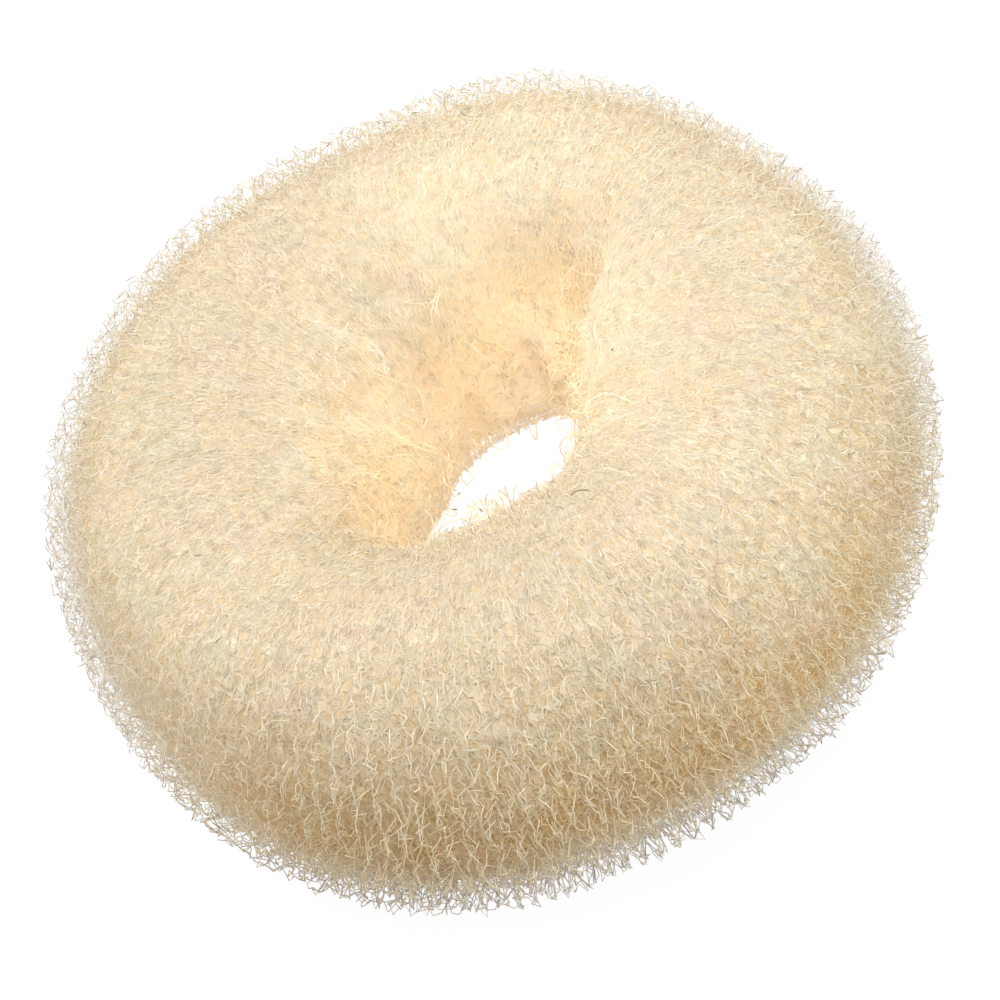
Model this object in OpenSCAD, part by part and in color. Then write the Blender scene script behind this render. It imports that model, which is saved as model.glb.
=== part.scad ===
// A soft ring of rolled nylon net, which a bun of hair is wound over. It is one long sleeve
// of net rolled up on itself, so it is one solid. It lies flat with the hair hole upright,
// and the origin is on the table under the middle of the ring. An azimuth turns round the
// ring from +X towards +Y, and a turn goes round the section of the roll, from the rim over
// the crown to the throat of the hole and back under the seat.

/* [Ring] */
// Outside diameter of the roll at its rim
outer_d = 90; // [80:1:110]
// Height of the roll as it lies flat
ring_h = 36; // [28:1:44]
// Width of the flat band that the roll rests on
seat_w = 10; // [4:1:14]

/* [Hair hole] */
// Width across the narrow way of the hair hole, at its throat
hole_d = 16; // [12:1:20]
// How far the hair hole lies off the middle of the ring
hole_off = 2.8; // [0:0.2:3.4]
// Azimuth that the hair hole lies off towards
hole_off_at = 32; // [0:1:359]

/* [Folds] */
// Depth of the crease in the funnel above the hole
fold_depth = 4; // [1:0.5:5]

/* [Gathers] */
// Number of gathers that the net makes as it runs into the hole
gathers = 24; // [12:1:32]
// Depth of a gather at the throat of the hole
gather_depth = 0.6; // [0.2:0.1:1]

/* [Hidden] */

// Columns of FORM. The rim is a share of half of outer_d, the hole a share of half of
// hole_d, the top a share of ring_h, and the crown is how far out the top lies, as a share
// of the way from the hole to the rim
RIM = 1;
HOLE = 2;
TOP = 3;
CROWN = 4;
FORM_STEP = 30;
FORM = [
    // azimuth, rim, hole, top, crown
    [  0, 0.99, 0.80, 0.98, 0.52],
    [ 30, 0.99, 1.15, 0.97, 0.51],
    [ 60, 1.04, 1.30, 0.98, 0.50],
    [ 90, 0.99, 1.15, 1.00, 0.50],
    [120, 1.04, 0.95, 0.99, 0.52],
    [150, 1.05, 1.05, 0.98, 0.55],
    [180, 1.01, 1.75, 0.97, 0.60],
    [210, 1.00, 1.95, 0.97, 0.60],
    [240, 1.00, 1.55, 0.98, 0.56],
    [270, 0.96, 1.15, 0.99, 0.53],
    [300, 0.96, 1.05, 0.99, 0.53],
    [330, 0.97, 0.85, 0.98, 0.52]
];

// Levels of the widest part of the rim and of the throat, as shares of ring_h
RIM_LEVEL = 0.48;
THROAT_LEVEL = 0.46;

// Power of the section's curve in the funnel. Below one, the crown is broader and the wall
// above the throat is steeper than on a round section
FUNNEL_POWER = 0.88;

// Columns of FOLDS. A fold is deepest at one azimuth and turn. It fades out over an angle
// clockwise, an angle anticlockwise and an angle of turn to either side. Its azimuth leans
// by a share of the turn, and its depth is a share of fold_depth, below zero where it
// stands proud
AZIMUTH = 0;
TURN = 1;
CLOCKWISE = 2;
ANTICLOCKWISE = 3;
ALONG = 4;
LEAN = 5;
DEPTH = 6;
FOLDS = [
    // azimuth, turn, clockwise, anticlockwise, along, lean, depth
    [ 31, 142, 12, 50, 46, -0.1,  1.00], // crease above the hole
    [ 17, 125, 14, 10, 34, -0.1, -0.20], // lip that leans over the crease
    [148, 138, 13, 13, 17,  0.0,  0.35], // dent in the funnel
    [333, 114, 16, 14, 34,  0.0,  0.28], // valley beside the hole
    [312, 100, 10, 10, 28,  0.0, -0.15], // ridge beside the valley
    [182, 152,  8,  8, 24,  0.0, -0.20], // small ridge in the funnel
    [240, 165, 14, 14, 22,  0.0, -0.60]  // end of the sleeve, tucked into the hole
];

// Turns of the crown, the throat and the seat, counted from the rim
CROWN_TURN = 90;
THROAT_TURN = 180;
SEAT_TURN = 270;

// How sharply the gathers fade from the throat towards the crown and the seat
GATHER_FADE = 3;

// The surface has four steps to a gather and one step of turn to each TURN_STEP
ROUND_STEPS = 4 * gathers;
TURN_STEP = 9;

// Smooth curve through four values in a row, at a share t of the way from b to c
function curve(a, b, c, d, t) =
    b + t / 2 * (c - a + t * (2 * a - 5 * b + 4 * c - d + t * (3 * (b - c) + d - a)));

function form_row(i) = FORM[(i + len(FORM)) % len(FORM)];

function form(azimuth, column) =
    let (i = floor(azimuth / FORM_STEP))
    let (v = [for (k = [-1 : 2]) form_row(i + k)[column]])
    curve(v[0], v[1], v[2], v[3], azimuth / FORM_STEP - i);

// One in the middle, and nothing from a distance of one outwards
function swell(distance) = abs(distance) < 1 ? pow(1 - distance * distance, 2) : 0;

// The angle from one direction to another, between -180 and 180 degrees
function angle_from(start, end) = (end - start + 540) % 360 - 180;

function fold(row, azimuth, turn) =
    let (along = angle_from(row[TURN], turn))
    let (across = angle_from(row[AZIMUTH] + row[LEAN] * along, azimuth))
    let (fade = across < 0 ? row[CLOCKWISE] : row[ANTICLOCKWISE])
    fold_depth * row[DEPTH] * swell(along / row[ALONG]) * swell(across / fade);

function folds(azimuth, turn, i = 0) =
    i < len(FOLDS) ? fold(FOLDS[i], azimuth, turn) + folds(azimuth, turn, i + 1) : 0;

function gather(azimuth, turn) =
    gather_depth * cos(gathers * azimuth) * pow(max(0, -cos(turn)), GATHER_FADE);

// A sine or cosine raised to a power, with its sign kept
function bent(x, power) = sign(x) * pow(abs(x), power);

// Distance from the ring's axis and height above the table. The side tells the inner edge
// of the seat, -1, from its outer edge, 1
function section(azimuth, turn, side) =
    let (rim = outer_d / 2 * form(azimuth, RIM))
    let (hole = hole_d / 2 * form(azimuth, HOLE) + hole_off * cos(azimuth - hole_off_at))
    let (crown = hole + (rim - hole) * form(azimuth, CROWN))
    let (inner = turn > CROWN_TURN && side < 0)
    let (lower = turn >= THROAT_TURN)
    let (level = ring_h * (inner ? THROAT_LEVEL : RIM_LEVEL))
    let (middle = lower ? crown + side * seat_w / 2 : crown)
    let (wide = inner ? middle - hole : rim - middle)
    let (high = lower ? level : ring_h * form(azimuth, TOP) - level)
    let (power = inner && !lower ? FUNNEL_POWER : 1)
    let (depth = folds(azimuth, turn) + gather(azimuth, turn))
    [middle + (wide - depth) * bent(cos(turn), power), level + (high - depth) * bent(sin(turn), power)];

function place(azimuth, turn, side) =
    let (p = section(azimuth, turn, side))
    [p[0] * cos(azimuth), p[0] * sin(azimuth), p[1]];

function halfway(values) = (min(values) + max(values)) / 2;

// Turns round the section in order, each with the side of the seat that it belongs to
SECTION = concat(
    [for (turn = [0 : TURN_STEP : SEAT_TURN]) [turn, -1]],
    [for (turn = [SEAT_TURN : TURN_STEP : 360 - TURN_STEP]) [turn, 1]]
);

module rolled_net() {
    points = [
        for (i = [0 : ROUND_STEPS - 1])
        for (at = SECTION)
        place(i * 360 / ROUND_STEPS, at[0], at[1])
    ];
    middle = [halfway([for (p = points) p.x]), halfway([for (p = points) p.y]), 0];
    faces = [
        for (i = [0 : ROUND_STEPS - 1])
        for (j = [0 : len(SECTION) - 1])
        let (here = i * len(SECTION))
        let (next = (i + 1) % ROUND_STEPS * len(SECTION))
        let (k = (j + 1) % len(SECTION))
        each [[here + j, next + k, next + j], [here + j, here + k, next + k]]
    ];
    color([0.96, 0.88, 0.74])
        polyhedron([for (p = points) p - middle], faces);
}

rolled_net();
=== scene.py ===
import math
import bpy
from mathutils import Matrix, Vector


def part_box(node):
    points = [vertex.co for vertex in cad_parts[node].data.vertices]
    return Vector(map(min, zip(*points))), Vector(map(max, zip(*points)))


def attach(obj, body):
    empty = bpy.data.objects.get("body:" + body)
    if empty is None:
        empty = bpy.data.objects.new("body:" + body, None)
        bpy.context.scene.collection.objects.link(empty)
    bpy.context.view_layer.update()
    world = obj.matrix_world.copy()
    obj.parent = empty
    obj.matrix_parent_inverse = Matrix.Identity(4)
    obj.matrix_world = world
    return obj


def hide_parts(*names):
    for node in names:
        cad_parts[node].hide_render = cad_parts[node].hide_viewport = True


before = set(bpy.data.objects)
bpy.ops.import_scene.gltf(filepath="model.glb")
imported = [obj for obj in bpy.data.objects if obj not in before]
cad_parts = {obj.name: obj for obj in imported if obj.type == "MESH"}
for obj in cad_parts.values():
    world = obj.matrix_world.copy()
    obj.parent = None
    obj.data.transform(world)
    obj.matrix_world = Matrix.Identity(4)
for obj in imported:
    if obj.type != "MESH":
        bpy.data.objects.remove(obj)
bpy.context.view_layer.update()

from types import SimpleNamespace

import bpy
import numpy as np
from bpy.props import FloatProperty, FloatVectorProperty, IntProperty, PointerProperty
from mathutils import Matrix, Vector
from mathutils.bvhtree import BVHTree

bl_info = {
    "name": "Rolled Net Ring",
    "version": (1, 0, 0),
    "blender": (4, 5, 0),
    "location": "3D View > Sidebar > Net Ring",
    "description": "Dresses a hair ring as a sleeve of knitted nylon net, rolled up on itself",
    "category": "Object",
}

NODE = "rolled_net"
BODY = "root"
MM = 0.001

# The ring's surface is read at this many azimuths round the ring and turns round its section.
# Azimuth 0 is the ring's right side and 90 its back. Turn 0 is the rim, 90 the crown, 180 the
# throat of the hole and 270 the seat
AROUND = 320
TURNS = 160
# Height of the middle of the section, as a share of the ring's height
MIDDLE_LEVEL = 0.48
# How far the middle of the section, the surface and a turn's depth are softened, in steps of
# azimuth and turn. The surface loses the solid's flat faces by it
MIDDLE_SOFTEN = (6, 0)
SURFACE_SOFTEN = (1.6, 1.2)
DEPTH_SOFTEN = (0, 5)
# The lowest that a thread and the dense roll lie above the table
THREAD_FLOOR = 0.02 * MM
ROLL_FLOOR = 0.1 * MM

# Turns of the sleeve. Each is knitted in bands, and a band is one piece: the turns in degrees
# where it begins and ends, its wales round the ring, and its courses. The depths under the
# ring's surface are in millimetres, at the turns of DEPTH_AT. The points are those of a wale,
# the rib is a share of the setting, and a course is shifted by a share of a wale
DEPTH_AT = (0, 45, 90, 135, 180, 225, 270, 310, 335)
OUTER_TURN = SimpleNamespace(
    bands=(
        ("net_outer_under", -78, -21, 150, 9),
        ("net_outer_rim", -21, 36, 165, 11),
        ("net_outer_crown", 36, 93, 170, 13),
        ("net_outer_funnel", 93, 150, 130, 13),
        ("net_outer_throat", 150, 214, 72, 12),
        ("net_outer_seat", 214, 282, 110, 11),
    ),
    depth=(1.5, 1.1, 0.6, 0.5, 0.5, 0.5, 0.5, 1.0, 1.5),
    points=8,
    rib=1.0,
    shift=0.31,
    seed=1,
    shadow=True,
)
INNER_TURN = SimpleNamespace(
    bands=(
        ("net_inner_rim", -72, 38, 136, 17),
        ("net_inner_crown", 38, 148, 110, 16),
    ),
    depth=(2.9, 2.1, 1.2, 1.0, 0.8, 0.9, 0.9, 2.4, 2.9),
    points=8,
    rib=0.4,
    shift=0.37,
    seed=21,
    shadow=False,
)
DEEP_TURN = SimpleNamespace(
    bands=(("net_deep_rim", -66, 50, 136, 15),),
    depth=(3.4, 2.5, 1.6, 1.2, 1.0, 1.0, 1.0, 2.9, 3.4),
    points=7,
    rib=0.2,
    shift=0.19,
    seed=41,
    shadow=False,
)
ROLL_DEPTH = (3.7, 2.7, 1.8, 1.4, 1.2, 1.2, 0.9, 3.2, 3.8)

# Ribs of the net round the ring. They stand out at the rim, where the cosine of the turn is high
RIBS = 136
RIM_COSINES = (-0.2, 0.8)
# The ribs show towards the near right. They begin and are full this far that way
RIB_SIDE = (0.7, -0.7, 0)
RIB_FADE = (-14 * MM, 8 * MM)
# Where the ribs merge, each course's bulges are turned by an angle against the last one's, and
# are a share of the ribs in number
BULGE_STEP = 2.4
BULGE_SHARE = 0.37

# Cells to a metre of the noises by which loops wander, the thread curls and its filaments spread
WANDER_SCALE = 420.0
CURL_SCALE = 1250.0
SPREAD_SCALE = 760.0
# The thread curls by this share of the setting on the crown, and by the whole at the rim
CROWN_CURL = 0.6
# Steps through the noises from one band to the next, and from one course to the next
SEED_STEP = (3.1, 5.7, 7.3)
COURSE_STEP = (0.013, 0.017, 0.011)
# Values of the noise between which the filaments spread, the thread's thickness as a multiple
# where they don't, how much less that is at the rim, and where they do on the crown
SPREAD_SHARES = (0.48, 0.60)
THIN = 0.8
THINNER = 0.25
THICK = 1.4
# Inputs of the net that take the setting of the same name
NET_WORDS = ("Neck", "Reach", "Rise", "Wander", "Curl", "Thread", "Swell")


# Settings


def kind_of(prop, **more):
    """A function that makes settings of one kind."""

    def make(name, description, default):
        return prop(name=name, description=description, default=default, **more)

    return make


length = kind_of(FloatProperty, unit="LENGTH")
factor = kind_of(FloatProperty, subtype="FACTOR")
angle = kind_of(FloatProperty, subtype="ANGLE")
amount = kind_of(FloatProperty)
whole = kind_of(IntProperty)
colour = kind_of(FloatVectorProperty, subtype="COLOR")


class NetSettings(bpy.types.PropertyGroup):
    thread: length("Thread", "Thickness of the nylon thread", 0.125 * MM)
    neck: factor("Neck", "How far a loop draws in at its neck, as a share of a wale", 0.12)
    reach: factor("Reach", "How far a loop reaches to either side, as a share of the course", 0.78)
    rise: length("Rise", "How far a loop bends out of the net", 0.22 * MM)
    rib: length("Rib", "How far a rib stands proud of the gap beside it", 1.2 * MM)
    wander: length("Wander", "How far whole loops wander from their place", 0.7 * MM)
    curl: length("Curl", "How far the thread curls within a loop, at the rim", 0.85 * MM)
    swell: amount("Swell", "How much thicker the thread is where its filaments spread", 2.1)
    sides: whole("Sides", "Flat sides round a thread", 3)


class RollSettings(bpy.types.PropertyGroup):
    lumps: length("Lumps", "How far the dense roll swells and sinks", 0.2 * MM)
    curl_size: length("Curl size", "Size of the curls of thread in the dense roll", 1.3 * MM)
    fill: factor("Fill", "How full the roll is, from slack to tight", 0.7)


class LooseSettings(bpy.types.PropertyGroup):
    count: whole("Count", "Number of frayed threads about the hole", 240)
    thread: length("Thread", "Thickness of a frayed thread", 0.13 * MM)
    lift: length("Lift", "How far a frayed thread stands off the net", 0.8 * MM)


class HemSettings(bpy.types.PropertyGroup):
    azimuth: angle("Azimuth", "Where round the hole the hem shows", math.radians(253))
    turn: angle("Turn", "How far down the hole the hem shows", math.radians(160))
    spread: amount("Spread", "Half of the hem's width, in degrees round the hole", 8.0)
    reach: length("Reach", "How far the hem stands into the hole", 2.7 * MM)
    thickness: length("Thickness", "Thickness of the doubled net", 0.35 * MM)


# The nylon's own colours, its patches, the hem and the specks, and beside them colours of the same
# nylon painted for light and shade. There is painted shade under the rim, near the table, on the
# inner turns and on the dense roll. There is painted glow in the funnel, and painted light along
# the side and back edges and near the table
class DyeAndPaintedLightSettings(bpy.types.PropertyGroup):
    thread: colour("Thread", "Outer thread on the crown", (0.99, 0.87, 0.67))
    # Painted shade: the outer thread darker and warmer under the rim, where less light falls
    thread_low: colour("Thread, low", "Outer thread under the rim", (0.95, 0.79, 0.52))
    # Painted glow: the outer thread more golden in the funnel, for light bouncing about in it
    thread_funnel: colour("Thread, funnel", "Outer thread in the funnel", (0.98, 0.80, 0.54))
    # Painted light: the outer thread paler along the side and back edges, where the side and back
    # lamps fall
    edge: colour("Edge", "Outer thread along the edge", (0.95, 0.87, 0.77))
    # Painted shade: the outer thread greyer and duller near the table
    under: colour("Under the rim", "Outer thread near the table", (0.84, 0.74, 0.65))
    # Painted shade: the inner turns are the same nylon as the outer one, warmer and a little darker
    # for the light that reaches them through it
    warm: colour("Warm thread", "Inner thread on the crown", (0.98, 0.84, 0.62))
    # Painted shade: what lies below the outer turn, much darker under the rim
    warm_low: colour("Warm thread, low", "Inner thread under the rim", (0.80, 0.55, 0.25))
    # Painted glow: what lies below the outer turn in the funnel, and the dense roll there, more
    # golden for light bouncing about in it
    warm_funnel: colour("Warm thread, funnel", "What lies below in the funnel", (0.97, 0.75, 0.44))
    # Painted light: what lies below the outer turn, and the dense roll, paler along the side and
    # back edges
    warm_edge: colour("Edge, inner", "What lies below along the edge", (0.97, 0.91, 0.81))
    # Painted light: what lies below the outer turn, and the dense roll, paler near the table than
    # under the rim, for the bright floor seen through the fringe
    warm_under: colour("Under the rim, inner", "What lies below near the table", (0.95, 0.87, 0.73))
    # Painted shade: the dense roll darker than the thread, in the gaps between threads
    shade: colour("Shade", "The dense roll in the gaps between threads", (0.96, 0.77, 0.51))
    # Painted shade: the dense roll's gaps darker still under the rim
    shade_low: colour("Shade, low", "The dense roll's gaps under the rim", (0.70, 0.47, 0.20))
    blush: colour("Blush", "The pinkish patches", (0.95, 0.79, 0.66))
    moss: colour("Moss", "The greenish grey patches", (0.88, 0.84, 0.65))
    hem: colour("Hem", "The doubled net of the hem", (0.88, 0.82, 0.77))
    speck: colour("Speck", "The dark specks and the stray thread", (0.16, 0.11, 0.07))


class StageSettings(bpy.types.PropertyGroup):
    elevation: angle("Elevation", "Camera's angle above the floor", math.radians(52))
    roll: angle("Roll", "How far the camera is turned about its view", math.radians(24))
    distance: length("Distance", "Distance from the camera to its target", 0.48)
    lens: amount("Lens", "Focal length in millimetres", 174.0)
    floor_light: amount("Floor light", "Light that the floor gives of itself", 0.92)
    key_power: amount("Key power", "Power of the lights overhead", 2.4)
    side_power: amount("Side power", "Power of the lights at the sides", 2.0)
    hole_power: amount("Hole power", "Power of the spots on the hole", 4.5)
    back_power: amount("Back power", "Power of the light behind the ring", 2.5)


class RingSettings(bpy.types.PropertyGroup):
    net: PointerProperty(type=NetSettings)
    roll: PointerProperty(type=RollSettings)
    loose: PointerProperty(type=LooseSettings)
    hem: PointerProperty(type=HemSettings)
    dye_and_painted_light: PointerProperty(type=DyeAndPaintedLightSettings)
    stage: PointerProperty(type=StageSettings)


# The ring's surface


def soften(values, across, along):
    """Blurs a grid that closes on itself both ways."""
    a = np.fft.fftfreq(values.shape[0])[:, None]
    t = np.fft.fftfreq(values.shape[1])[None, :]
    keep = np.exp(-2 * (math.pi * across * a) ** 2 - 2 * (math.pi * along * t) ** 2)
    return np.fft.ifft2(np.fft.fft2(values) * keep).real


def mesh_points(mesh):
    """The places of a mesh's points, one to a row."""
    points = np.empty(len(mesh.vertices) * 3, np.float32)
    mesh.vertices.foreach_get("co", points)
    return points.reshape(-1, 3)


def mesh_triangles(mesh):
    """The corners of a mesh's triangles, one triangle to a row."""
    mesh.calc_loop_triangles()
    corners = np.empty(len(mesh.loop_triangles) * 3, np.int32)
    mesh.loop_triangles.foreach_get("vertices", corners)
    return corners.reshape(-1, 3)


def read_ring():
    """The CAD node's surface, as how far it lies from the middle of the section at each turn."""
    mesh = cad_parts[NODE].data
    tree = BVHTree.FromPolygons(mesh_points(mesh).tolist(), mesh_triangles(mesh).tolist())
    low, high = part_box(NODE)
    level = MIDDLE_LEVEL * (high.z - low.z)
    outside = 2 * (high.x - low.x)
    azimuths = 2 * math.pi * np.arange(AROUND) / AROUND
    turns = 2 * math.pi * np.arange(TURNS) / TURNS
    outward = [Vector((math.cos(a), math.sin(a), 0)) for a in azimuths]
    centre = Vector((0, 0, level))
    throat = [tree.ray_cast(centre, way)[3] for way in outward]
    rim = [outside - tree.ray_cast(centre + outside * way, -way)[3] for way in outward]
    middle = (np.array(throat) + np.array(rim)) / 2
    middle = soften(middle[:, None], *MIDDLE_SOFTEN)[:, 0]
    depth = np.empty((AROUND, TURNS))
    for i, way in enumerate(outward):
        start = centre + float(middle[i]) * way
        for j, t in enumerate(turns):
            ray = math.cos(t) * way + math.sin(t) * Vector((0, 0, 1))
            depth[i, j] = tree.ray_cast(start, ray)[3]
    depth = soften(depth, *SURFACE_SOFTEN)
    return SimpleNamespace(azimuths=azimuths, turns=turns, middle=middle, level=level, depth=depth)


def ring_points(ring, inset=0.0):
    """Points of the ring's surface, or of one that lies an inset inside it."""
    reach = ring.depth - inset
    radius = ring.middle[:, None] + reach * np.cos(ring.turns)
    height = ring.level + reach * np.sin(ring.turns)
    x = radius * np.cos(ring.azimuths)[:, None]
    y = radius * np.sin(ring.azimuths)[:, None]
    return np.stack([x, y, height], 2)


def depth_under(ring, rows):
    """How deep a turn of net lies at each place, from its depths at the turns of DEPTH_AT."""
    depth = np.interp(np.degrees(ring.turns), (*DEPTH_AT, 360), (*rows, rows[0]))
    return soften(np.tile(depth * MM, (AROUND, 1)), *DEPTH_SOFTEN)


def outward_of(points):
    """The outward direction at each point of the ring's grid."""
    round_it = np.roll(points, -1, 0) - np.roll(points, 1, 0)
    along = np.roll(points, -1, 1) - np.roll(points, 1, 1)
    normal = np.cross(round_it, along)
    return normal / np.linalg.norm(normal, axis=2, keepdims=True)


def ring_mesh(name, points):
    """A closed mesh over the ring's grid. Its map gives azimuth and turn as shares of a circle."""
    around, turns = points.shape[:2]
    i, j = np.meshgrid(np.arange(around), np.arange(turns), indexing="ij")
    i, j = i.ravel(), j.ravel()
    corner = np.stack([[i, j], [i + 1, j], [i + 1, j + 1], [i, j + 1]], 0)
    faces = (corner[:, 0] % around) * turns + corner[:, 1] % turns
    mesh = bpy.data.meshes.new(name)
    mesh.from_pydata(points.reshape(-1, 3).tolist(), [], faces.T.tolist())
    places = np.stack([corner[:, 0] / around, corner[:, 1] / turns], 2).transpose(1, 0, 2)
    layer = mesh.uv_layers.new(name="Turns")
    layer.data.foreach_set("uv", places.astype(np.float32).ravel())
    outward = mesh.attributes.new("Outward", "FLOAT_VECTOR", "POINT")
    outward.data.foreach_set("vector", outward_of(points).astype(np.float32).ravel())
    mesh.shade_smooth()
    return mesh


def sample(grid, azimuth, turn):
    """Values of a grid over the ring, at azimuths and turns in degrees."""
    a = np.asarray(azimuth, float) / 360 * AROUND
    t = np.asarray(turn, float) / 360 * TURNS
    i, j = np.floor(a).astype(int), np.floor(t).astype(int)
    u, v = (a - i)[..., None], (t - j)[..., None]
    corner = [[grid[(i + p) % AROUND, (j + q) % TURNS] for q in (0, 1)] for p in (0, 1)]
    near = corner[0][0] * (1 - u) + corner[1][0] * u
    far = corner[0][1] * (1 - u) + corner[1][1] * u
    return near * (1 - v) + far * v


def path_over(points, outward, azimuth, turn, lift):
    """A path over the ring, at azimuths and turns in degrees, lifted off its surface."""
    return sample(points, azimuth, turn) + sample(outward, azimuth, turn) * lift[:, None]


# Making nodes


def feed(socket, value):
    """Links a socket, or sets its value."""
    if isinstance(value, bpy.types.NodeSocket):
        socket.id_data.links.new(value, socket)
    else:
        socket.default_value = value


def tree_of(*values):
    """The node tree that the sockets among some values belong to."""
    return next(v.id_data for v in values if isinstance(v, bpy.types.NodeSocket))


def node(tree, kind, **values):
    """Adds a node and gives its outputs. Lower case words set its properties, others its inputs."""
    made = tree.nodes.new(kind)
    for word, value in values.items():
        if word[0].islower():
            setattr(made, word, value)
    for word, value in values.items():
        if word[0].isupper():
            feed(made.inputs[word.replace("_", " ")], value)
    return made.outputs


def first(tree, kind, **values):
    """Adds a node and gives its first output."""
    return node(tree, kind, **values)[0]


def operate(kind, operation, values):
    """Adds a node of one operation, feeds its inputs in order and gives its outputs."""
    made = tree_of(*values).nodes.new(kind)
    made.operation = operation
    for socket, value in zip(made.inputs, values):
        feed(socket, value)
    return made.outputs


def calc(operation, *values):
    """A math node's result."""
    return operate("ShaderNodeMath", operation, values)[0]


def times(a, b):
    return calc("MULTIPLY", a, b)


def plus(a, b):
    return calc("ADD", a, b)


def minus(a, b):
    return calc("SUBTRACT", a, b)


def vector_calc(operation, *values):
    """A vector math node's result, which is a number for a length or a dot product."""
    outputs = operate("ShaderNodeVectorMath", operation, values)
    return outputs["Value" if operation in ("LENGTH", "DOT_PRODUCT") else "Vector"]


def scaled(vector, scale):
    """A vector times a number."""
    tree = tree_of(vector, scale)
    return first(tree, "ShaderNodeVectorMath", operation="SCALE", Vector=vector, Scale=scale)


def mixed(share, a, b):
    """A mix of two colours. The node has sockets for other kinds of value too."""
    made = tree_of(share, a, b).nodes.new("ShaderNodeMix")
    made.data_type = "RGBA"
    a, b = (c if isinstance(c, bpy.types.NodeSocket) else (*c, 1) for c in (a, b))
    for socket, value in zip([s for s in made.inputs if s.enabled], (share, a, b)):
        feed(socket, value)
    return next(s for s in made.outputs if s.enabled)


def ranged(value, low, high):
    """Takes a value from nought to one to the range from low to high."""
    return first(value.id_data, "ShaderNodeMapRange", Value=value, To_Min=low, To_Max=high)


def between(value, low, high):
    """A smooth step from nought at low to one at high."""
    step = {"interpolation_type": "SMOOTHSTEP", "From_Min": low, "From_Max": high}
    return first(value.id_data, "ShaderNodeMapRange", Value=value, **step)


def noise(where, scale, detail=0.0, **more):
    """A noise's outputs, at a scale in cells to a metre."""
    more.update(Vector=where, Scale=scale, Detail=detail)
    return node(where.id_data, "ShaderNodeTexNoise", **more)


def new_group(name, kind, inputs, outputs):
    """An empty node group. Its sockets are given as the names of each kind."""
    tree = bpy.data.node_groups.new(name, kind)
    for way, sockets in (("INPUT", inputs), ("OUTPUT", outputs)):
        for value, titles in sockets.items():
            for title in titles:
                tree.interface.new_socket(title, in_out=way, socket_type=f"NodeSocket{value}")
    given = tree.nodes.new("NodeGroupInput").outputs
    return tree, given, tree.nodes.new("NodeGroupOutput").inputs


# The net


NET_INPUTS = {
    "Object": ("Guide",),
    "Material": ("Material",),
    "Int": ("Wales", "Courses", "Points", "Sides", "Ribs"),
    "Float": ("First Turn", "Last Turn", "Shift", "Rib", "Seed", *NET_WORDS),
}


def thread_route(given, along, course):
    """Where each course's thread runs, as shares of the guide's azimuth and turn, and its rise."""
    phase = times(times(along, given["Wales"]), 2 * math.pi)
    double = times(phase, 2.0)
    lean = times(calc("SINE", double), given["Neck"])
    stagger = times(course, given["Shift"])
    aside = calc("DIVIDE", plus(lean, stagger), given["Wales"])
    azimuth = calc("FRACT", plus(along, aside))
    swing = times(calc("COSINE", phase), given["Reach"])
    row = minus(plus(course, along), swing)
    span = minus(given["Last Turn"], given["First Turn"])
    step = calc("DIVIDE", span, given["Courses"])
    turn = calc("FRACT", plus(given["First Turn"], times(row, step)))
    rise = times(calc("COSINE", double), given["Rise"])
    return azimuth, turn, rise


def named_vector(tree, name):
    """A vector that the mesh keeps under a name."""
    return first(tree, "GeometryNodeInputNamedAttribute", data_type="FLOAT_VECTOR", Name=name)


def on_guide(tree, guide, place, value):
    """The guide's own value at a place of its map."""
    turns = named_vector(tree, "Turns")
    given = {"Mesh": guide, "Value": value, "UV_Map": turns, "Sample_UV": place}
    return node(tree, "GeometryNodeSampleUVSurface", data_type="FLOAT_VECTOR", **given)["Value"]


def rib_lift(given, azimuth, course, surface, near_rim):
    """How far the ribs lift the thread."""
    ribs = times(azimuth, times(given["Ribs"], 2 * math.pi))
    # The ribs stand apart on the near and right side, and merge on the far and left one, where
    # each thread bulges in its own places
    toward = vector_calc("DOT_PRODUCT", surface, RIB_SIDE)
    apart = between(toward, *RIB_FADE)
    own = plus(times(course, BULGE_STEP), times(ribs, BULGE_SHARE))
    bulges = times(minus(1.0, apart), calc("SINE", own))
    wave = plus(bulges, times(calc("COSINE", ribs), apart))
    return times(wave, times(given["Rib"], near_rim))


def stirred(place, distance, stir):
    """Moves a place by a noise, up to a distance."""
    aside = vector_calc("SUBTRACT", stir["Color"], (0.5, 0.5, 0.5))
    return vector_calc("ADD", place, scaled(aside, times(distance, 2.0)))


def thread_swell(tree, given, apart, near_rim):
    """The thread's thickness as a multiple: it is thin, and swells where its filaments spread."""
    position = first(tree, "GeometryNodeInputPosition")
    spread = noise(vector_calc("ADD", position, apart), SPREAD_SCALE)["Fac"]
    thin = minus(THIN, times(near_rim, THINNER))
    thick = plus(THICK, times(near_rim, minus(given["Swell"], THICK)))
    return ranged(between(spread, *SPREAD_SHARES), thin, thick)


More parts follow.
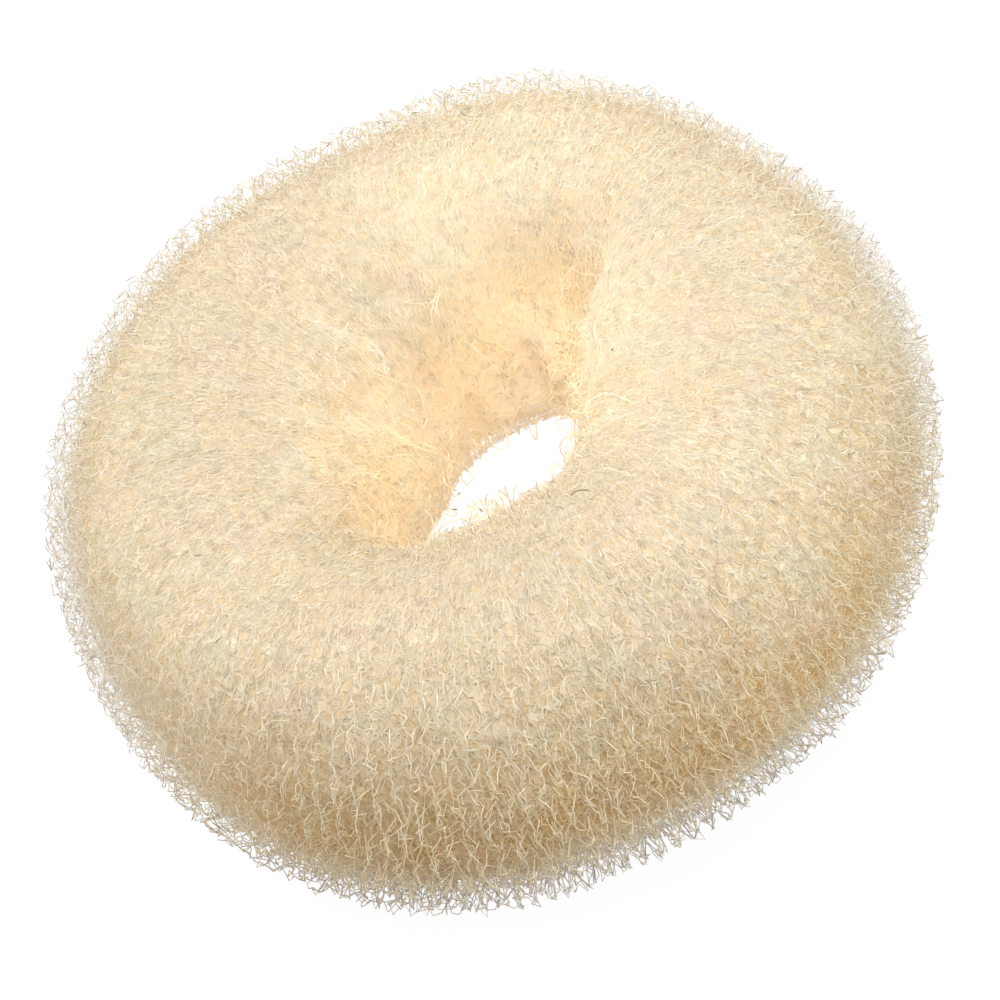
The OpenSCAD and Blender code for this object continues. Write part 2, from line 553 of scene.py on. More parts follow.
def net_tree():
    """Geometry nodes that knit a net over a guide: one thread a course, bent into loops."""
    name = "Knit A Net Over A Guide"
    if known := bpy.data.node_groups.get(name):
        return known
    tree, given, out = new_group(name, "GeometryNodeTree", NET_INPUTS, {"Geometry": ("Net",)})
    # A straight thread for each course
    points = plus(times(given["Wales"], given["Points"]), 1.0)
    line = first(tree, "GeometryNodeCurvePrimitiveLine", End=(1, 0, 0))
    thread = first(tree, "GeometryNodeResampleCurve", Curve=line, Count=points)
    copies = {"domain": "SPLINE", "Geometry": thread, "Amount": given["Courses"]}
    threads = node(tree, "GeometryNodeDuplicateElements", **copies)
    along = node(tree, "GeometryNodeSplineParameter")["Factor"]
    course = threads["Duplicate Index"]
    # Its place over the guide
    azimuth, turn, rise = thread_route(given, along, course)
    guide = node(tree, "GeometryNodeObjectInfo", Object=given["Guide"])["Geometry"]
    place = first(tree, "ShaderNodeCombineXYZ", X=azimuth, Y=turn)
    surface = on_guide(tree, guide, place, first(tree, "GeometryNodeInputPosition"))
    outward = on_guide(tree, guide, place, named_vector(tree, "Outward"))
    rimward = calc("COSINE", times(turn, 2 * math.pi))
    near_rim = between(rimward, *RIM_COSINES)
    lift = plus(rise, rib_lift(given, azimuth, course, surface, near_rim))
    lifted = vector_calc("ADD", surface, scaled(outward, lift))
    # Loops wander together, and each course's thread curls in its own way
    together = vector_calc("ADD", lifted, scaled(SEED_STEP, given["Seed"]))
    apart = scaled(COURSE_STEP, course)
    wander = noise(together, WANDER_SCALE, 1.0)
    moved = stirred(lifted, given["Wander"], wander)
    curly = plus(CROWN_CURL, times(near_rim, 1 - CROWN_CURL))
    curl = noise(vector_calc("ADD", together, apart), CURL_SCALE)
    moved = stirred(moved, times(given["Curl"], curly), curl)
    made = threads["Geometry"]
    made = first(tree, "GeometryNodeSetPosition", Geometry=made, Position=moved)
    # Its thickness
    swell = thread_swell(tree, given, apart, near_rim)
    made = first(tree, "GeometryNodeSetCurveRadius", Curve=made, Radius=swell)
    radius = calc("DIVIDE", given["Thread"], 2.0)
    circle = {"mode": "RADIUS", "Resolution": given["Sides"], "Radius": radius}
    section = first(tree, "GeometryNodeCurvePrimitiveCircle", **circle)
    made = first(tree, "GeometryNodeCurveToMesh", Curve=made, Profile_Curve=section, Fill_Caps=True)
    made = first(tree, "GeometryNodeSetShadeSmooth", Geometry=made)
    made = first(tree, "GeometryNodeRealizeInstances", Geometry=made)
    made = first(tree, "GeometryNodeSetMaterial", Geometry=made, Material=given["Material"])
    tree.links.new(made, out["Net"])
    return tree


def volume_of(mesh, points):
    """The volume in a closed mesh, which is below nought where its faces point inwards."""
    a, b, c = points[mesh_triangles(mesh)].transpose(1, 0, 2).astype(float)
    return float((a * np.cross(b, c)).sum() / 6)


def settle(mesh):
    """Keeps a mesh above the floor, with its faces outwards."""
    points = mesh_points(mesh)
    points[:, 2] = np.maximum(points[:, 2], THREAD_FLOOR)
    mesh.vertices.foreach_set("co", points.ravel())
    if volume_of(mesh, points) < 0:
        mesh.flip_normals()
    mesh.update()


def smooth_mesh(name, points, faces):
    """A smooth mesh above the floor, with its faces outwards."""
    mesh = bpy.data.meshes.new(name)
    mesh.from_pydata(points, [], faces)
    mesh.shade_smooth()
    settle(mesh)
    return mesh


def put_in(scene, name, data):
    """Makes an object of some data and puts it in the scene."""
    made = bpy.data.objects.new(name, data)
    scene.collection.objects.link(made)
    return made


def finish_piece(piece, shadow):
    """Says what a finished piece rides on and if it casts a shadow."""
    if not len(piece.data.polygons):
        raise RuntimeError(f"{piece.name} came out empty")
    piece.visible_shadow = shadow
    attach(piece, BODY)
    return piece


def add_piece(context, name, mesh, material):
    """Makes a mesh a finished piece that casts no shadow."""
    mesh.materials.append(material)
    return finish_piece(put_in(context.scene, name, mesh), False)


def knit(context, name, shadow, **values):
    """Knits one band of net as a piece. The values are the tree's inputs by name."""
    blank = bpy.data.meshes.new("blank")
    piece = put_in(context.scene, name, blank)
    modifier = piece.modifiers.new("Net", "NODES")
    modifier.node_group = net_tree()
    for item in modifier.node_group.interface.items_tree:
        word = item.name.replace(" ", "_")
        if item.in_out == "INPUT" and word in values:
            modifier[item.identifier] = values[word]
    context.view_layer.update()
    done = piece.evaluated_get(context.evaluated_depsgraph_get())
    mesh = bpy.data.meshes.new_from_object(done)
    piece.modifiers.clear()
    piece.data = mesh
    bpy.data.meshes.remove(blank)
    mesh.name = name
    settle(mesh)
    return finish_piece(piece, shadow)


def knit_turn(context, sleeve, material):
    """Knits each band of one turn of the sleeve, over a guide of the ring's surface."""
    net = context.scene.bun_ring.net
    ring = read_ring()
    surface = ring_points(ring, depth_under(ring, sleeve.depth))
    guide = put_in(context.scene, "guide", ring_mesh("guide", surface))
    same = {word: getattr(net, word.lower()) for word in NET_WORDS}
    same.update(Guide=guide, Material=material, Points=sleeve.points, Sides=net.sides)
    same.update(Shift=sleeve.shift, Ribs=RIBS, Rib=sleeve.rib * net.rib)
    for number, (name, begins, ends, wales, courses) in enumerate(sleeve.bands):
        turns = {"First_Turn": begins / 360, "Last_Turn": ends / 360}
        seed = float(sleeve.seed + number)
        own = {"Wales": wales, "Courses": courses, "Seed": seed}
        knit(context, name, sleeve.shadow, **own, **turns, **same)
    mesh = guide.data
    bpy.data.objects.remove(guide)
    bpy.data.meshes.remove(mesh)


# Materials


# PLACES are where colours are painted for light and shade: painted shade under the rim (Low),
# painted glow in the Funnel, painted light along the side and back Edge, and greyer painted shade
# with paler painted light near the table (Under)
# Where each of PLACES begins and is full: heights, radii, and how far back the edge is
LOW_HEIGHTS = (36 * MM, 17 * MM)
FUNNEL_HEIGHTS = (34 * MM, 22 * MM)
UNDER_HEIGHTS = (15 * MM, 6 * MM)
FUNNEL_RADII = (27 * MM, 19 * MM)
EDGE_RADII = (38 * MM, 44 * MM)
EDGE_BACK = (-36 * MM, 4 * MM)
PLACES = ("Low", "Funnel", "Edge", "Under")

# Patches of another dye, flecks, crimp and fluff: cells of their noises to a metre, and the
# values between which they fade in. The noises of the two patches lie a step apart
PATCH_SCALE = 220.0
PATCH_FADE = (0.5, 0.68)
PATCH_STEP = 0.37
FLECK_SCALE = 900.0
FLECK_FADE = (0.5, 0.72)
CRIMP_SCALE = 2600.0
FLUFF_SCALE = 3000.0

# Layers of curls in the dense roll, the deepest first: how fine they are, the width of their
# lines in the noise, and how near they come to the thread's colour, the deeper ones staying
# nearer the gaps' painted shade
CURL_LAYERS = ((1.25, 0.075, 0.45), (1.0, 0.065, 0.75), (0.8, 0.055, 1.0))


def dye_group():
    """Colour of the nylon: pinkish and greenish patches on its own colour, and darker flecks."""
    name = "Dyed Nylon"
    if known := bpy.data.node_groups.get(name):
        return known
    inputs = {
        "Vector": ("Vector",),
        "Color": ("Colour", "Blush", "Moss"),
        "Float": ("Patches", "Flecks"),
    }
    tree, given, out = new_group(name, "ShaderNodeTree", inputs, {"Color": ("Colour",)})
    dyed = given["Colour"]
    for tint, step in ((given["Blush"], 0.0), (given["Moss"], PATCH_STEP)):
        where = vector_calc("ADD", given["Vector"], (step, step, 0))
        patch = noise(where, PATCH_SCALE, 1.0)["Fac"]
        share = times(between(patch, *PATCH_FADE), given["Patches"])
        dyed = mixed(share, dyed, tint)
    fleck = noise(given["Vector"], FLECK_SCALE)["Fac"]
    darker = times(between(fleck, *FLECK_FADE), given["Flecks"])
    dimmed = first(tree, "ShaderNodeHueSaturation", Color=dyed, Value=minus(1.0, darker))
    tree.links.new(dimmed, out["Colour"])
    return tree


def places_group():
    """Where on the ring a point lies, as a mask for each of PLACES, where light and shade are
    painted.
    """
    name = "Places On The Ring"
    if known := bpy.data.node_groups.get(name):
        return known
    inputs, masks = {"Vector": ("Vector",)}, {"Float": PLACES}
    tree, given, out = new_group(name, "ShaderNodeTree", inputs, masks)
    parts = node(tree, "ShaderNodeSeparateXYZ", Vector=given["Vector"])
    height = parts["Z"]
    flat = vector_calc("MULTIPLY", given["Vector"], (1, 1, 0))
    radius = vector_calc("LENGTH", flat)
    inside = between(radius, *FUNNEL_RADII)
    outside = minus(1.0, inside)
    side = between(radius, *EDGE_RADII)
    found = {
        "Low": times(between(height, *LOW_HEIGHTS), outside),
        "Funnel": times(between(height, *FUNNEL_HEIGHTS), inside),
        "Edge": times(side, between(parts["Y"], *EDGE_BACK)),
        "Under": times(between(height, *UNDER_HEIGHTS), outside),
    }
    for place in PLACES:
        tree.links.new(found[place], out[place])
    return tree


def curls_group():
    """Curls of thread drawn on a surface: lines where a noise crosses its middle."""
    name = "Curled Threads"
    if known := bpy.data.node_groups.get(name):
        return known
    inputs = {"Vector": ("Vector",), "Float": ("Scale", "Width", "Seed")}
    tree, given, out = new_group(name, "ShaderNodeTree", inputs, {"Float": ("Thread",)})
    step = scaled((1.3, 2.1, 0.7), given["Seed"])
    where = vector_calc("ADD", given["Vector"], step)
    field = noise(where, given["Scale"], 1.0, Roughness=0.4)["Fac"]
    off = calc("ABSOLUTE", minus(field, 0.5))
    line = between(off, given["Width"], times(given["Width"], 0.3))
    tree.links.new(line, out["Thread"])
    return tree


def grouped(group, where, **values):
    """Adds a node group that starts from a place, and gives its outputs."""
    return node(where.id_data, "ShaderNodeGroup", node_tree=group, Vector=where, **values)


def placed_colour(where, crown, *others):
    """The crown's colour, which changes to the others at each of PLACES: painted shade, glow and
    light.
    """
    masks = grouped(places_group(), where)
    placed = crown
    for place, tint in zip(PLACES, others):
        placed = mixed(masks[place], placed, tint)
    return placed


def outer_colours(dye_and_painted_light):
    """Colours of the outer turn on the crown, and its painted shade, glow and light at each of
    PLACES.
    """
    return dye_and_painted_light.thread, dye_and_painted_light.thread_low, dye_and_painted_light.thread_funnel, dye_and_painted_light.edge, dye_and_painted_light.under


def inner_colours(dye_and_painted_light, crown, low):
    """Colours of what lies below the outer turn on the crown, and its painted shade, glow and light
    at each of PLACES.
    """
    return crown, low, dye_and_painted_light.warm_funnel, dye_and_painted_light.warm_edge, dye_and_painted_light.warm_under


def new_material(name):
    """A material with its shader's inputs and the Object coordinates."""
    material = bpy.data.materials.new(name)
    material.use_nodes = True
    tree = material.node_tree
    where = node(tree, "ShaderNodeTexCoord")["Object"]
    return material, tree.nodes["Principled BSDF"].inputs, where


def give_dye(shader, where, dye_and_painted_light, own, patches, flecks):
    """Feeds a shader a colour with the nylon's patches and flecks. The colour given carries painted
    shade, glow and light by place.
    """
    tints = {"Colour": own, "Blush": (*dye_and_painted_light.blush, 1), "Moss": (*dye_and_painted_light.moss, 1)}
    dyed = grouped(dye_group(), where, Patches=patches, Flecks=flecks, **tints)
    feed(shader["Base Color"], dyed["Colour"])


def give_bump(shader, height, strength, distance):
    bump = {"Height": height, "Strength": strength, "Distance": distance}
    feed(shader["Normal"], first(height.id_data, "ShaderNodeBump", **bump))


def thread_material(dye_and_painted_light, name, colours, patches):
    """Cream nylon thread, with painted shade, glow and light by place. The colours are the ones of
    placed_colour.
    """
    if known := bpy.data.materials.get(name):
        return known
    material, shader, where = new_material(name)
    own = placed_colour(where, *colours)
    give_dye(shader, where, dye_and_painted_light, own, patches, flecks=0.08)
    crimp = noise(where, CRIMP_SCALE)["Fac"]
    feed(shader["Roughness"], ranged(crimp, 0.35, 0.62))
    shader["Sheen Weight"].default_value = 0.1
    shader["Sheen Roughness"].default_value = 0.5
    return material


def outer_material(dye_and_painted_light):
    return thread_material(dye_and_painted_light, "pale_nylon_thread", outer_colours(dye_and_painted_light), patches=0.35)


# The inner turns' thread is a shaded copy of the outer one, with painted shade, glow and light
def inner_material(dye_and_painted_light):
    colours = inner_colours(dye_and_painted_light, dye_and_painted_light.warm, dye_and_painted_light.warm_low)
    return thread_material(dye_and_painted_light, "warm_nylon_thread", colours, patches=0.3)


def roll_material(dye_and_painted_light, curl_size):
    """The dense roll: many turns of net, seen as curls of thread over gaps in painted shade."""
    material, shader, where = new_material("rolled_net_depths")
    # deep is the roll's painted shade, and bright is the outer thread's colours
    deep = placed_colour(where, *inner_colours(dye_and_painted_light, dye_and_painted_light.shade, dye_and_painted_light.shade_low))
    bright = placed_colour(where, *outer_colours(dye_and_painted_light))
    own, height = deep, 0.0
    for layer, (fine, width, share) in enumerate(CURL_LAYERS):
        drawn = {"Scale": fine / curl_size, "Width": width, "Seed": float(layer)}
        curls = grouped(curls_group(), where, **drawn)[0]
        own = mixed(curls, own, mixed(share, deep, bright))
        high = times(curls, (layer + 1) / len(CURL_LAYERS))
        height = calc("MAXIMUM", height, high)
    give_dye(shader, where, dye_and_painted_light, own, patches=0.35, flecks=0.15)
    feed(shader["Roughness"], ranged(height, 0.85, 0.5))
    give_bump(shader, height, strength=0.7, distance=0.35 * MM)
    return material


def hem_material(dye_and_painted_light):
    """The doubled net of the hem, denser and pinker than the rest."""
    material, shader, where = new_material("hem_of_net")
    curls = grouped(curls_group(), where, Scale=1500.0, Width=0.09)[0]
    feed(shader["Base Color"], mixed(curls, dye_and_painted_light.blush, dye_and_painted_light.hem))
    feed(shader["Roughness"], ranged(curls, 0.8, 0.5))
    give_bump(shader, curls, strength=0.8, distance=0.2 * MM)
    return material


def speck_material(dye_and_painted_light):
    """Dark fluff and a stray dark thread."""
    material, shader, where = new_material("dark_speck")
    fluff = noise(where, FLUFF_SCALE, 2.0)["Fac"]
    brown = tuple(2.5 * c for c in dye_and_painted_light.speck)
    feed(shader["Base Color"], mixed(fluff, dye_and_painted_light.speck, brown))
    shader["Roughness"].default_value = 0.7
    return material


# The roll and the turns of the sleeve


class BUNRING_OT_roll(bpy.types.Operator):
    """Make the dense inner roll that the turns of net lie on"""

    bl_idname = "bunring.roll"
    bl_label = "Dense Roll"

    def execute(self, context):
        settings = context.scene.bun_ring
        roll = settings.roll
        ring = read_ring()
        depth = depth_under(ring, ROLL_DEPTH)
        lumps = soften(np.random.default_rng(11).normal(size=depth.shape), 3.0, 2.4)
        lumps *= roll.lumps / lumps.std()
        points = ring_points(ring, depth + lumps)
        points[..., 2] = np.maximum(points[..., 2], ROLL_FLOOR)
        mesh = ring_mesh("rolled_core", points)
        deep = roll_material(settings.dye_and_painted_light, roll.curl_size)
        piece = add_piece(context, "rolled_core", mesh, deep)
        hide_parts(NODE)
        return {"FINISHED"}


class BUNRING_OT_outer_turn(bpy.types.Operator):
    """Knit the outer turn of the sleeve over the roll"""

    bl_idname = "bunring.outer_turn"
    bl_label = "Outer Turn of Net"

    def execute(self, context):
        knit_turn(context, OUTER_TURN, outer_material(context.scene.bun_ring.dye_and_painted_light))
        return {"FINISHED"}


class BUNRING_OT_inner_turn(bpy.types.Operator):
    """Knit the turns of the sleeve that show through the outer one"""

    bl_idname = "bunring.inner_turn"
    bl_label = "Inner Turns of Net"

    def execute(self, context):
        warm = inner_material(context.scene.bun_ring.dye_and_painted_light)
        knit_turn(context, INNER_TURN, warm)
        knit_turn(context, DEEP_TURN, warm)
        return {"FINISHED"}


# The hem, loose threads and specks


# The tip of the hem: its points across and out, how sharply it narrows, its wave, how far it
# curls up, how deep its root lies and how rough it is
HEM_POINTS = (25, 17)
HEM_NARROWS = 0.85
HEM_WAVE = (2.2, 0.6)
HEM_CURL = 0.5 * MM
HEM_ROOT = 0.6 * MM
HEM_ROUGH = 0.12 * MM

# Frayed threads: the turns that they start between, how far they stray in azimuth and turn,
# their least lift and what chance adds, as shares of the setting, and in millimetres how far
# they sway and how deep their ends lie
FRAY_TURNS = (126, 205)
FRAY_STRAY = (9, 13)
FRAY_LIFT = (0.4, 0.8)
FRAY_SWAY = 0.35
FRAY_ROOT = 0.4
# Threads that end in a dark speck over the hole: the azimuth and turn where each leaves the
# funnel, where it ends and how they sag, in millimetres
HANGING = [
    ((236, 148), (-3.6, -7.2, 27.0)),
    ((232, 146), (-4.5, -8.9, 27.0)),
    ((246, 150), (-2.4, -9.7, 26.0)),
]
HANGING_SAG = (0.6, 0.2, 1.0)
# Radii along a speck on such a thread and one in the net, and how far the latter reaches, in
# millimetres
HANGING_SPECK = (0.04, 0.08, 0.05)
NET_SPECK = (0.05, 0.09, 0.05)
SPECK_REACH = 0.12
# Dark specks in the net, as azimuth and turn
SPECKS = [(227.5, 60), (251, 34), (350.5, 128)]
# The stray dark thread: azimuth and turn of its ends, its radius and its lift
STRAY = ((287.6, 111.3), (291.5, 107.8))
STRAY_RADIUS = 0.055 * MM
STRAY_LIFT = 0.3 * MM
# Points along a loose thread
LOOSE_POINTS = 9
# A direction that no loose thread runs along
ACROSS = (0.31, 0.17, 0.93)


def hem_mesh(hem):
    """A curled tongue of net with a round edge, which grows out of the wall of the hole."""
    points = ring_points(read_ring())
    across, out = (np.linspace(start, 1, count) for start, count in zip((-1, 0), HEM_POINTS))
    across, out = np.meshgrid(across, out, indexing="ij")
    narrow = np.sqrt(1 - HEM_NARROWS * out**2)
    azimuth = math.degrees(hem.azimuth) + hem.spread * across * narrow
    turn = np.full(out.shape, math.degrees(hem.turn))
    wall, way = sample(points, azimuth, turn), sample(outward_of(points), azimuth, turn)
    waves, start = HEM_WAVE
    curled = HEM_CURL * np.sin(waves * across + start) * out + HEM_CURL * out**2
    rough = soften(np.random.default_rng(8).normal(size=out.shape), 1.5, 1.5)
    middle = wall + way * (hem.reach * out - HEM_ROOT)[..., None]
    middle[..., 2] += curled + HEM_ROUGH * rough / rough.std()
    thick = hem.thickness / 2 * np.sqrt(np.clip(1.04 - out**4, 0, 1))
    lift = thick[..., None] * np.array((0, 0, 1))
    grid = np.arange(out.size).reshape(out.shape)
    below = grid + out.size
    quads = [
        (grid[:-1, :-1], grid[1:, :-1], grid[1:, 1:], grid[:-1, 1:]),
        (below[:-1, :-1], below[:-1, 1:], below[1:, 1:], below[1:, :-1]),
    ]
    faces = [f for q in quads for f in np.stack(q, 2).reshape(-1, 4).tolist()]
    sides = (grid[:-1, 0], grid[-1, :-1], grid[:0:-1, -1], grid[0, :0:-1])
    edge = np.concatenate(sides).tolist()
    for a, b in zip(edge, edge[1:] + edge[:1]):
        faces.append((b, a, a + out.size, b + out.size))
    both = np.concatenate([middle + lift, middle - lift]).reshape(-1, 3)
    return smooth_mesh("tucked_hem", both.tolist(), faces)


class BUNRING_OT_hem(bpy.types.Operator):
    """Fold the tip of the sleeve's raw end out of the wall of the hole"""

    bl_idname = "bunring.hem"
    bl_label = "Hem in the Hole"

    def execute(self, context):
        settings = context.scene.bun_ring
        mesh = hem_mesh(settings.hem)
        add_piece(context, "tucked_hem", mesh, hem_material(settings.dye_and_painted_light))
        return {"FINISHED"}


def tubes_mesh(name, paths, sides):
    """A mesh of closed tubes. Each path is its points and its radius at each of them."""
    points, faces = [], []
    turn = 2 * math.pi * np.arange(sides) / sides
    cosines, sines = np.cos(turn)[None, :, None], np.sin(turn)[None, :, None]
    for path, radius in paths:
        along = np.gradient(path, axis=0)
        along /= np.linalg.norm(along, axis=1, keepdims=True)
        aside = np.cross(along, ACROSS)
        aside /= np.linalg.norm(aside, axis=1, keepdims=True)
        above = np.cross(along, aside)
        turned = cosines * aside[:, None] + sines * above[:, None]
        tube = path[:, None] + radius[:, None, None] * turned
        first = len(points)
        points += tube.reshape(-1, 3).tolist()
        for i in range(len(path) - 1):
            for j in range(sides):
                k = (j + 1) % sides
                a, b = first + i * sides, first + (i + 1) * sides
                faces.append((a + j, a + k, b + k, b + j))
        last = first + (len(path) - 1) * sides
        faces.append(tuple(first + j for j in reversed(range(sides))))
        faces.append(tuple(last + j for j in range(sides)))
    return smooth_mesh(name, points, faces)


def loose_paths(loose):
    """Paths of the frayed threads, and of the dark specks and the stray thread."""
    random = np.random.default_rng(5)
    points = ring_points(read_ring())
    outward = outward_of(points)
    share = np.linspace(0, 1, LOOSE_POINTS)
    arch, wave = np.sin(math.pi * share), np.sin(2 * math.pi * share)
    thin = np.full(LOOSE_POINTS, loose.thread / 2)
    frayed, dark = [], []
    for _ in range(loose.count):
        azimuth = random.uniform(0, 360) + random.normal(0, FRAY_STRAY[0]) * share
        turn = random.uniform(*FRAY_TURNS) + random.normal(0, FRAY_STRAY[1]) * share
        lift = (FRAY_LIFT[0] + random.exponential(FRAY_LIFT[1])) * loose.lift * arch
        sway = random.normal(0, FRAY_SWAY, (2, 3)) * MM
        path = path_over(points, outward, azimuth, turn, lift - FRAY_ROOT * MM)
        path += arch[:, None] * sway[0] + wave[:, None] * sway[1]
        frayed.append((path, thin))
    for leaves, end in HANGING:
        start = sample(points, *leaves)
        sag = arch[:, None] * (np.array(HANGING_SAG) * MM)
        path = start + (np.array(end) * MM - start) * share[:, None] + sag
        frayed.append((path, thin))
        dark.append((path[-3:], np.array(HANGING_SPECK) * MM))
    for place in SPECKS:
        step = random.normal(0, SPECK_REACH, 3) * MM
        path = sample(points, *place) + np.array((-1, 0, 1))[:, None] * step
        dark.append((path, np.array(NET_SPECK) * MM))
    azimuth, turn = (first + (last - first) * share for first, last in zip(*STRAY))
    path = path_over(points, outward, azimuth, turn, STRAY_LIFT * arch)
    dark.append((path, np.full(LOOSE_POINTS, STRAY_RADIUS)))
    return frayed, dark


class BUNRING_OT_loose_threads(bpy.types.Operator):
    """Fray the sleeve's end about the hole, and catch a few dark specks in the net"""

    bl_idname = "bunring.loose_threads"
    bl_label = "Loose Threads and Specks"

    def execute(self, context):
        settings = context.scene.bun_ring
        dye_and_painted_light = settings.dye_and_painted_light
        frayed, dark = loose_paths(settings.loose)
        for name, paths, sides, material in (
            ("frayed_threads", frayed, 4, outer_material(dye_and_painted_light)),
            ("dark_specks", dark, 6, speck_material(dye_and_painted_light)),
        ):
            add_piece(context, name, tubes_mesh(name, paths, sides), material)
        return {"FINISHED"}


# The stage


# What the camera and the soft lamps point at
TARGET = Vector((0, 0, 16 * MM))
SENSOR_WIDTH = 36
SHIFT = (0.001, -0.012)
CLIP = (0.01, 20)
FLOOR_HALF = 3.0
# The floor as the ring and the lamps see it
FLOOR_BOUNCE = (0.45, 0.37, 0.27)
WHITE = (1, 1, 1)
COOL = (0.8, 0.92, 1)
# Soft lamps: name, place, width, the power that it takes a share of, the share, if it casts
# shadows, and tint
LAMPS = (
    ("key", (0.02, 0.06, 0.86), 0.8, "key_power", 0.66, True, WHITE),
    ("fill", (0.0, -0.2, 0.82), 0.5, "key_power", 0.37, False, WHITE),
    ("back", (0.25, 0.64, 0.7), 0.5, "back_power", 0.78, True, COOL),
    ("right", (0.72, -0.50, 0.12), 0.5, "side_power", 3.2, True, COOL),
    ("left", (-0.85, 0.1, 0.16), 0.5, "side_power", 1.45, True, COOL),
)
# Spots on the hole and the funnel: name, place, what it points at, angle of its cone, and its
# share of the hole power
HOLE_SPOTS = (
    ("under_the_hole", (0.05, -0.1, -0.5), (0.001, 0.006, 0.008), 4.6, 1.0),
    ("back_of_the_hole", (0.07, -0.28, 0.55), (0.005, 0.009, 0.015), 2.8, 1.1),
    ("left_of_the_hole", (0.22, -0.17, 0.53), (-0.010, 0.004, 0.018), 2.8, 0.9),
    ("crease_by_the_hole", (-0.12, -0.26, 0.55), (0.0085, 0.0095, 0.0155), 1.5, 0.55),
    ("end_of_the_crease", (-0.01, -0.03, -0.5), (0.0088, 0.0092, 0.0125), 1.1, 1.6),
    ("left_end_of_the_hole", (0.2, -0.2, 0.5), (-0.0095, 0.001, 0.0140), 1.5, 1.0),
    ("back_of_the_funnel", (0.06, -0.54, 0.25), (0.013, 0.018, 0.033), 3.4, 0.85),
)
SPOT_SIZE = 6 * MM
# Light of the world: everywhere, what overhead adds, what the side behind the ring adds, and
# where that side begins and is full
WORLD_LIGHT = 0.06
WORLD_OVERHEAD = 0.35
WORLD_BEHIND = 0.64
BEHIND = (-0.85, 0.1)


def split_by_camera(tree, others, camera, output):
    """Shows one shader to the camera and the other one to all other rays."""
    seen = node(tree, "ShaderNodeLightPath")["Is Camera Ray"]
    mix = tree.nodes.new("ShaderNodeMixShader")
    for socket, source in zip(mix.inputs, (seen, others, camera)):
        feed(socket, source)
    feed(tree.nodes[output].inputs["Surface"], mix.outputs[0])


def lay_floor(scene, light):
    """A floor that is white to the camera, and duller and warmer to the ring."""
    half = FLOOR_HALF
    corners = [(-half, -half, 0), (half, -half, 0), (half, half, 0), (-half, half, 0)]
    mesh = bpy.data.meshes.new("floor")
    mesh.from_pydata(corners, [], [(0, 1, 2, 3)])
    material = bpy.data.materials.new("pale_floor")
    material.use_nodes = True
    tree = material.node_tree
    shader = tree.nodes["Principled BSDF"]
    for name, value in {
        "Base Color": (0.1, 0.1, 0.1, 1),
        "Roughness": 0.9,
        "Specular IOR Level": 0.1,
        "Emission Color": (*WHITE, 1),
        "Emission Strength": light,
    }.items():
        shader.inputs[name].default_value = value
    dull = first(tree, "ShaderNodeBsdfDiffuse", Color=(*FLOOR_BOUNCE, 1))
    split_by_camera(tree, dull, shader.outputs[0], "Material Output")
    mesh.materials.append(material)
    floor = put_in(scene, "floor", mesh)


def place_camera(scene, stage):
    """A camera before the ring, above the floor and turned about its view."""
    data = bpy.data.cameras.new("camera")
    data.lens = stage.lens
    data.sensor_width = SENSOR_WIDTH
    data.shift_x, data.shift_y = SHIFT
    data.clip_start, data.clip_end = CLIP
    camera = put_in(scene, "camera", data)
    above, turned = stage.elevation, stage.roll
    back = Vector((0, -math.cos(above), math.sin(above)))
    right = Vector((1, 0, 0))
    up = Vector((0, math.sin(above), math.cos(above)))
    across = right * math.cos(turned) - up * math.sin(turned)
    upright = right * math.sin(turned) + up * math.cos(turned)
    facing = Matrix((across, upright, back)).transposed().to_4x4()
    camera.matrix_world = Matrix.Translation(TARGET + stage.distance * back) @ facing
    scene.camera = camera


def aim_lamp(scene, light, place, target):
    """Puts a light at a place and points it at a target."""
    lamp = put_in(scene, light.name, light)
    lamp.location = place
    lamp.rotation_euler = (target - lamp.location).to_track_quat("-Z", "Y").to_euler()


def hang_lamps(scene, stage):
    """Hangs the soft lamps, and the narrow spots on the hole, which cast no shadow."""
    for name, place, width, power, share, shadow, tint in LAMPS:
        light = bpy.data.lights.new(name, "AREA")
        light.shape = "DISK"
        light.size = width
        light.energy = share * getattr(stage, power)
        light.use_shadow = shadow
        light.color = tint
        aim_lamp(scene, light, place, TARGET)
    for name, place, aim, cone, share in HOLE_SPOTS:
        light = bpy.data.lights.new(name, "SPOT")
        light.spot_size = math.radians(cone)
        light.spot_blend = 1.0
        light.shadow_soft_size = SPOT_SIZE
        light.use_shadow = False
        light.energy = share * stage.hole_power
        aim_lamp(scene, light, place, Vector(aim))


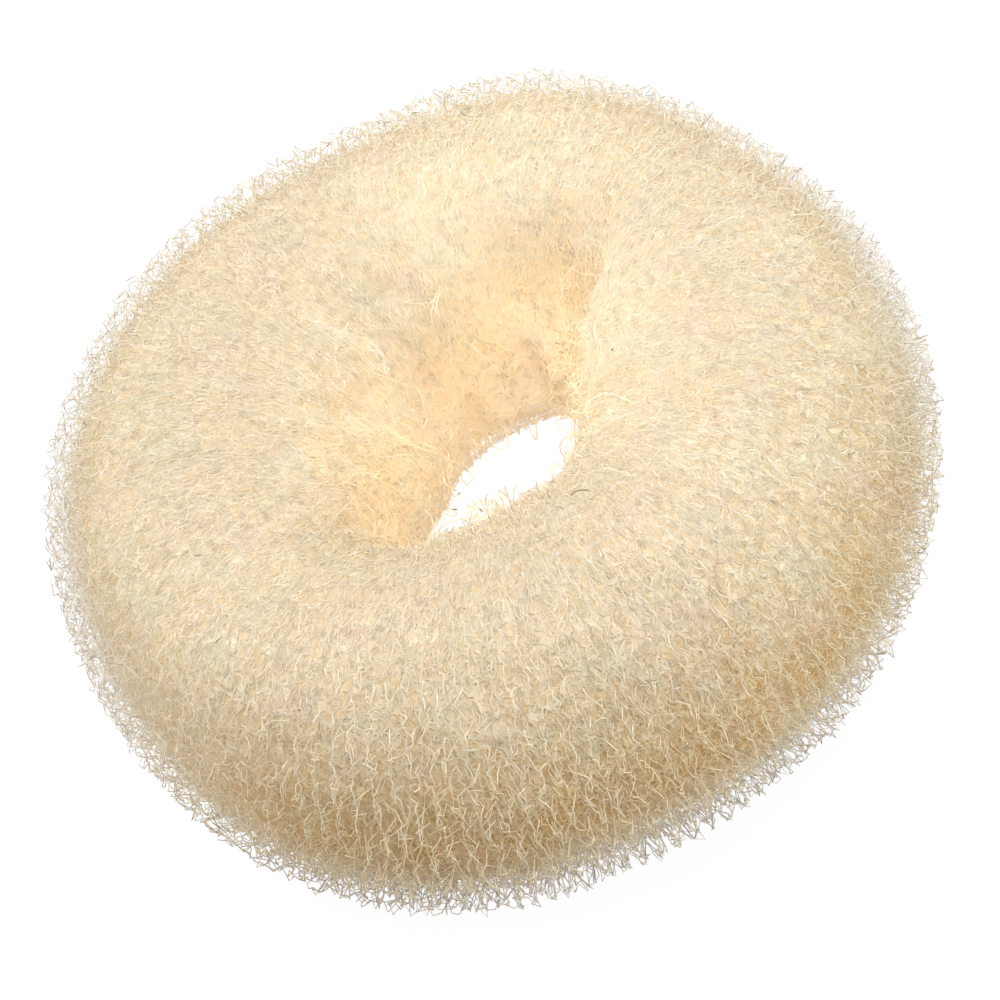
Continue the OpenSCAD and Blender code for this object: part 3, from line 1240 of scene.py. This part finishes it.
def light_world(scene):
    """A world that is white to the camera, and brightest from above and behind the ring."""
    scene.world = bpy.data.worlds.new("studio")
    scene.world.use_nodes = True
    tree = scene.world.node_tree
    way = node(tree, "ShaderNodeTexCoord")["Generated"]
    parts = node(tree, "ShaderNodeSeparateXYZ", Vector=way)
    overhead = times(between(parts["Z"], 0.0, 1.0), WORLD_OVERHEAD)
    behind = times(between(parts["Y"], *BEHIND), WORLD_BEHIND)
    strength = plus(plus(overhead, behind), WORLD_LIGHT)
    sky = tree.nodes["Background"]
    sky.inputs["Color"].default_value = (*WHITE, 1)
    feed(sky.inputs["Strength"], strength)
    seen = first(tree, "ShaderNodeBackground", Color=(*WHITE, 1), Strength=1.0)
    split_by_camera(tree, sky.outputs[0], seen, "World Output")


class BUNRING_OT_stage(bpy.types.Operator):
    """Set the pale floor, the soft lights and the camera"""

    bl_idname = "bunring.stage"
    bl_label = "Floor, Lights and Camera"

    def execute(self, context):
        scene = context.scene
        stage = scene.bun_ring.stage
        lay_floor(scene, stage.floor_light)
        place_camera(scene, stage)
        hang_lamps(scene, stage)
        light_world(scene)
        scene.view_settings.view_transform = "Standard"
        return {"FINISHED"}


class BUNRING_PT_panel(bpy.types.Panel):
    """Steps that dress the ring"""

    bl_idname = "BUNRING_PT_panel"
    bl_label = "Rolled Net Ring"
    bl_space_type = "VIEW_3D"
    bl_region_type = "UI"
    bl_category = "Net Ring"

    def draw(self, context):
        for step in STEPS:
            self.layout.operator(step.bl_idname)


STEPS = (
    BUNRING_OT_roll,
    BUNRING_OT_outer_turn,
    BUNRING_OT_inner_turn,
    BUNRING_OT_hem,
    BUNRING_OT_loose_threads,
    BUNRING_OT_stage,
)
CLASSES = (
    NetSettings,
    RollSettings,
    LooseSettings,
    HemSettings,
    DyeAndPaintedLightSettings,
    StageSettings,
    RingSettings,
    *STEPS,
    BUNRING_PT_panel,
)


def register():
    for made in CLASSES:
        bpy.utils.register_class(made)
    bpy.types.Scene.bun_ring = PointerProperty(type=RingSettings)


def unregister():
    del bpy.types.Scene.bun_ring
    for made in reversed(CLASSES):
        bpy.utils.unregister_class(made)


def main():
    register()
    bpy.ops.bunring.roll()
    bpy.ops.bunring.outer_turn()
    bpy.ops.bunring.inner_turn()
    bpy.ops.bunring.hem()
    bpy.ops.bunring.loose_threads()
    bpy.ops.bunring.stage()


if __name__ == "__main__":
    main()
